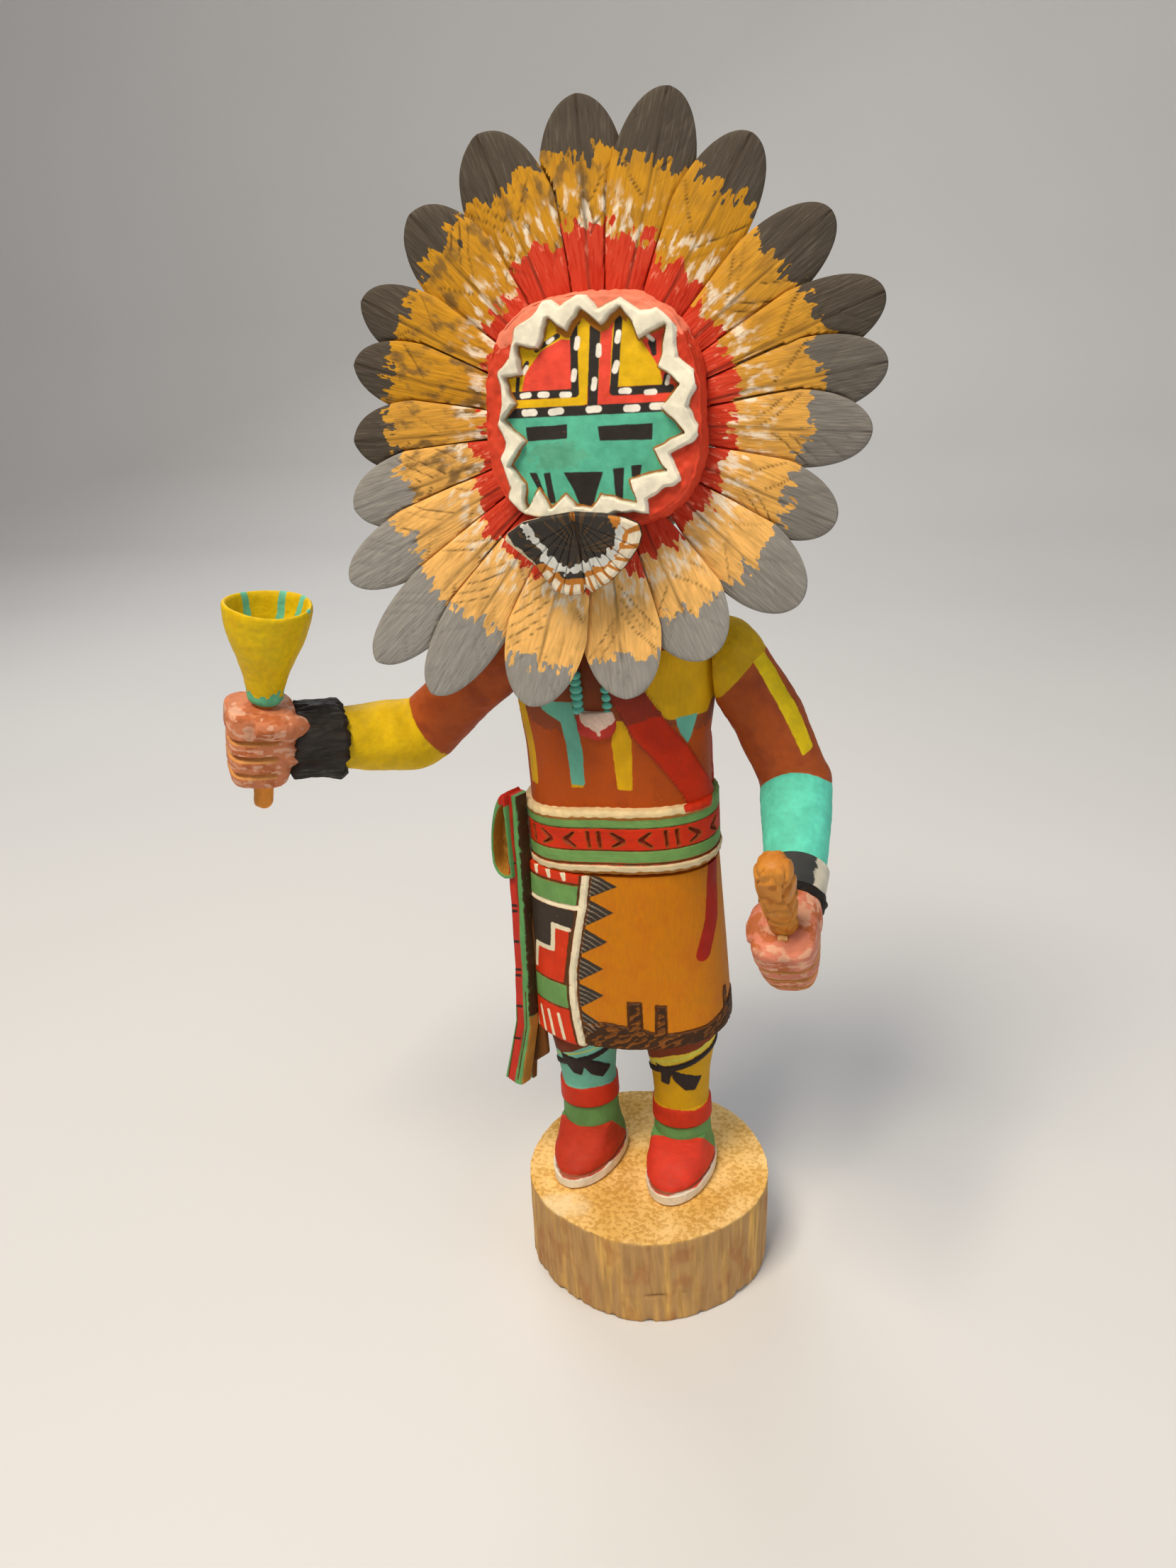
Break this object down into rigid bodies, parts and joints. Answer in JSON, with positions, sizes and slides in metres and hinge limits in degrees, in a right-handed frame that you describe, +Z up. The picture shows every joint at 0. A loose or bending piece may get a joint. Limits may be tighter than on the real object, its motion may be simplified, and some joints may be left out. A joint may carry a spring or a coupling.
{
  "type": "kachina doll",
  "caption": "Carved and painted wooden sun-faced kachina doll with a ring of flat carved feathers, holding a flared cup and an ear of corn, on a round wood base.",
  "frame": {"origin": "middle of the wood base's underside", "axes": "+Z up; the figure faces -Y; +X is the doll's left"},
  "size_m": [0.2021, 0.1064, 0.3729],
  "materials": {
    "base_wood": "raw sanded cottonwood",
    "figure_paint": "matt paint on carved wood, several colours",
    "feather_paint": "matt paint on carved wood, dark tips, ochre middle, red root",
    "mask_paint": "matt paint on carved wood, several colours",
    "butterfly_paint": "matt paint on carved wood",
    "arm_paint": "matt paint on carved wood, several colours",
    "cup_paint": "matt yellow paint on turned or carved wood",
    "corn_wood": "stained carved wood",
    "wedge_wood": "raw wood",
    "sash_paint": "matt paint on carved wood, several colours"
  },
  "bodies": {
    "root": {"base": "base_wood", "figure": "figure_paint", "feather_01": "feather_paint", "feather_02": "feather_paint", "feather_03": "feather_paint", "feather_04": "feather_paint", "feather_05": "feather_paint", "feather_06": "feather_paint", "feather_07": "feather_paint", "feather_08": "feather_paint", "feather_09": "feather_paint", "feather_10": "feather_paint", "feather_11": "feather_paint", "feather_12": "feather_paint", "feather_13": "feather_paint", "feather_14": "feather_paint", "feather_15": "feather_paint", "feather_16": "feather_paint", "feather_17": "feather_paint", "feather_18": "feather_paint", "feather_19": "feather_paint", "feather_20": "feather_paint", "feather_21": "feather_paint", "mask": "mask_paint", "butterfly": "butterfly_paint", "right_arm": "arm_paint", "left_arm": "arm_paint", "flared_cup": "cup_paint", "corn_ear": "corn_wood", "grip_wedge": "wedge_wood", "side_sash": "sash_paint"}
  },
  "joints": []
}
